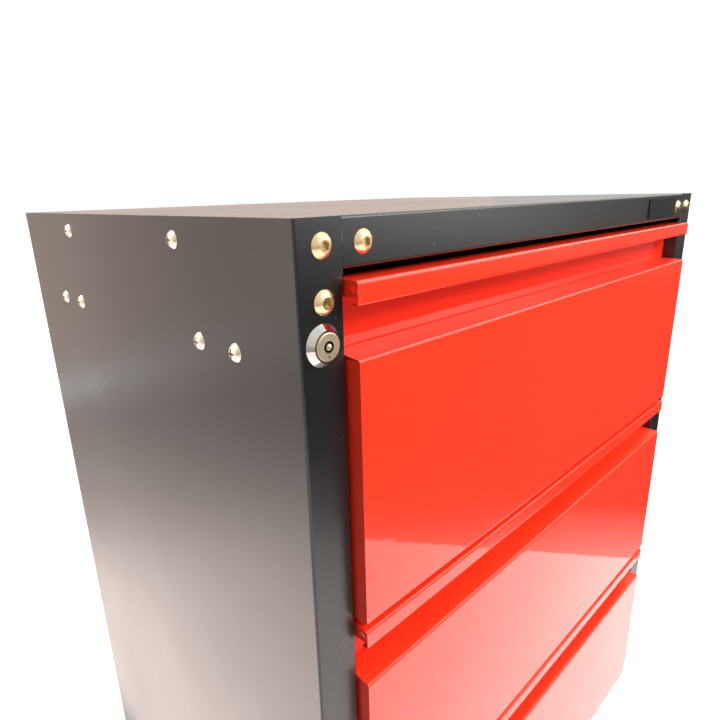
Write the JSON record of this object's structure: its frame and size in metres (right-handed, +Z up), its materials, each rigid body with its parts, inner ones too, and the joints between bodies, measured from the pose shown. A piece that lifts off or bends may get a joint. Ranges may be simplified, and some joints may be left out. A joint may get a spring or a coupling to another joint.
{
  "type": "workshop drawer cabinet",
  "caption": "Free-standing workshop cabinet of folded sheet steel with a bolted front frame, full-width drawers on ball slides, lip pulls over finger recesses and a key lock.",
  "frame": {"origin": "on the floor under the middle of the cabinet's bounding box", "axes": "+Z up, -Y towards the drawer fronts, +X to the right seen from the front"},
  "size_m": [0.6268, 0.4726, 0.7685],
  "materials": {
    "black_powder_coat": "satin",
    "red_powder_coat": "gloss",
    "yellow_zinc": "bright",
    "bright_zinc": "bright",
    "zinc_sheet": "satin",
    "slide_steel": "satin",
    "ball_steel": "bright",
    "lock_chrome": "polished",
    "lock_satin": "satin",
    "badge_black": "satin",
    "foot_rubber": "matte"
  },
  "bodies": {
    "carcass": {"side_panel_left": "black_powder_coat", "side_panel_right": "black_powder_coat", "top_panel": "black_powder_coat", "bottom_panel": "black_powder_coat", "back_panel": "black_powder_coat", "corner_bracket_upper_left": "zinc_sheet", "corner_bracket_upper_right": "zinc_sheet", "corner_bracket_lower_left": "zinc_sheet", "corner_bracket_lower_right": "zinc_sheet", "upright_front_left": "zinc_sheet", "upright_front_right": "zinc_sheet", "upright_rear_left": "zinc_sheet", "upright_rear_right": "zinc_sheet", "frame_bolts": "yellow_zinc", "frame_nuts": "bright_zinc", "side_screws": "bright_zinc", "side_nuts": "bright_zinc", "back_screws": "bright_zinc", "feet": "foot_rubber", "foot_screws": "bright_zinc", "foot_nuts": "bright_zinc", "badge_plate": "badge_black", "lock_housing": "lock_chrome", "lock_nut": "bright_zinc", "lock_bar_guides": "zinc_sheet", "slide_1_cabinet_members": "slide_steel", "slide_2_cabinet_members": "slide_steel", "slide_3_cabinet_members": "slide_steel"},
    "drawer_1": {"drawer_1_pull": "red_powder_coat", "drawer_1_front": "red_powder_coat", "drawer_1_box": "red_powder_coat", "drawer_1_screws": "bright_zinc", "drawer_1_catch": "zinc_sheet", "slide_1_drawer_members": "slide_steel"},
    "slide_1_middle": {"slide_1_middle_members": "slide_steel"},
    "slide_1_outer_cage": {"slide_1_outer_cages": "ball_steel"},
    "slide_1_inner_cage": {"slide_1_inner_cages": "ball_steel"},
    "drawer_2": {"drawer_2_pull": "red_powder_coat", "drawer_2_front": "red_powder_coat", "drawer_2_box": "red_powder_coat", "drawer_2_screws": "bright_zinc", "drawer_2_catch": "zinc_sheet", "slide_2_drawer_members": "slide_steel"},
    "slide_2_middle": {"slide_2_middle_members": "slide_steel"},
    "slide_2_outer_cage": {"slide_2_outer_cages": "ball_steel"},
    "slide_2_inner_cage": {"slide_2_inner_cages": "ball_steel"},
    "drawer_3": {"drawer_3_pull": "red_powder_coat", "drawer_3_front": "red_powder_coat", "drawer_3_box": "red_powder_coat", "drawer_3_screws": "bright_zinc", "drawer_3_catch": "zinc_sheet", "slide_3_drawer_members": "slide_steel"},
    "slide_3_middle": {"slide_3_middle_members": "slide_steel"},
    "slide_3_outer_cage": {"slide_3_outer_cages": "ball_steel"},
    "slide_3_inner_cage": {"slide_3_inner_cages": "ball_steel"},
    "lock_plug": {"lock_plug": "lock_satin", "lock_cam": "zinc_sheet"},
    "lock_bar": {"lock_bar": "zinc_sheet"}
  },
  "joints": [
    {"name": "drawer_1_travel", "type": "slide", "parent": "carcass", "child": "drawer_1", "axis": [0, -1, 0], "range_m": [0, 0.39]},
    {"name": "slide_1_middle_travel", "type": "slide", "parent": "carcass", "child": "slide_1_middle", "axis": [0, -1, 0], "range_m": [0, 0.195]},
    {"name": "slide_1_outer_cage_travel", "type": "slide", "parent": "carcass", "child": "slide_1_outer_cage", "axis": [0, -1, 0], "range_m": [0, 0.0975]},
    {"name": "slide_1_inner_cage_travel", "type": "slide", "parent": "carcass", "child": "slide_1_inner_cage", "axis": [0, -1, 0], "range_m": [0, 0.2925]},
    {"name": "drawer_2_travel", "type": "slide", "parent": "carcass", "child": "drawer_2", "axis": [0, -1, 0], "range_m": [0, 0.39]},
    {"name": "slide_2_middle_travel", "type": "slide", "parent": "carcass", "child": "slide_2_middle", "axis": [0, -1, 0], "range_m": [0, 0.195]},
    {"name": "slide_2_outer_cage_travel", "type": "slide", "parent": "carcass", "child": "slide_2_outer_cage", "axis": [0, -1, 0], "range_m": [0, 0.0975]},
    {"name": "slide_2_inner_cage_travel", "type": "slide", "parent": "carcass", "child": "slide_2_inner_cage", "axis": [0, -1, 0], "range_m": [0, 0.2925]},
    {"name": "drawer_3_travel", "type": "slide", "parent": "carcass", "child": "drawer_3", "axis": [0, -1, 0], "range_m": [0, 0.39]},
    {"name": "slide_3_middle_travel", "type": "slide", "parent": "carcass", "child": "slide_3_middle", "axis": [0, -1, 0], "range_m": [0, 0.195]},
    {"name": "slide_3_outer_cage_travel", "type": "slide", "parent": "carcass", "child": "slide_3_outer_cage", "axis": [0, -1, 0], "range_m": [0, 0.0975]},
    {"name": "slide_3_inner_cage_travel", "type": "slide", "parent": "carcass", "child": "slide_3_inner_cage", "axis": [0, -1, 0], "range_m": [0, 0.2925]},
    {"name": "lock_turn", "type": "hinge", "parent": "carcass", "child": "lock_plug", "pos_m": [-0.294, -0.2263, 0.7015], "axis": [0, 1, 0], "range_deg": [0, 90]},
    {"name": "lock_bar_drop", "type": "slide", "parent": "carcass", "child": "lock_bar", "axis": [0, 0, -1], "range_m": [0, 0.0113]}
  ],
  "couplings": [
    {"joint": "slide_1_middle_travel", "follows": "drawer_1_travel", "ratio": 0.5},
    {"joint": "slide_1_outer_cage_travel", "follows": "drawer_1_travel", "ratio": 0.25},
    {"joint": "slide_1_inner_cage_travel", "follows": "drawer_1_travel", "ratio": 0.75},
    {"joint": "slide_2_middle_travel", "follows": "drawer_2_travel", "ratio": 0.5},
    {"joint": "slide_2_outer_cage_travel", "follows": "drawer_2_travel", "ratio": 0.25},
    {"joint": "slide_2_inner_cage_travel", "follows": "drawer_2_travel", "ratio": 0.75},
    {"joint": "slide_3_middle_travel", "follows": "drawer_3_travel", "ratio": 0.5},
    {"joint": "slide_3_outer_cage_travel", "follows": "drawer_3_travel", "ratio": 0.25},
    {"joint": "slide_3_inner_cage_travel", "follows": "drawer_3_travel", "ratio": 0.75},
    {"joint": "lock_turn", "follows": "lock_bar_drop", "rad_per_m": 138.84}
  ]
}
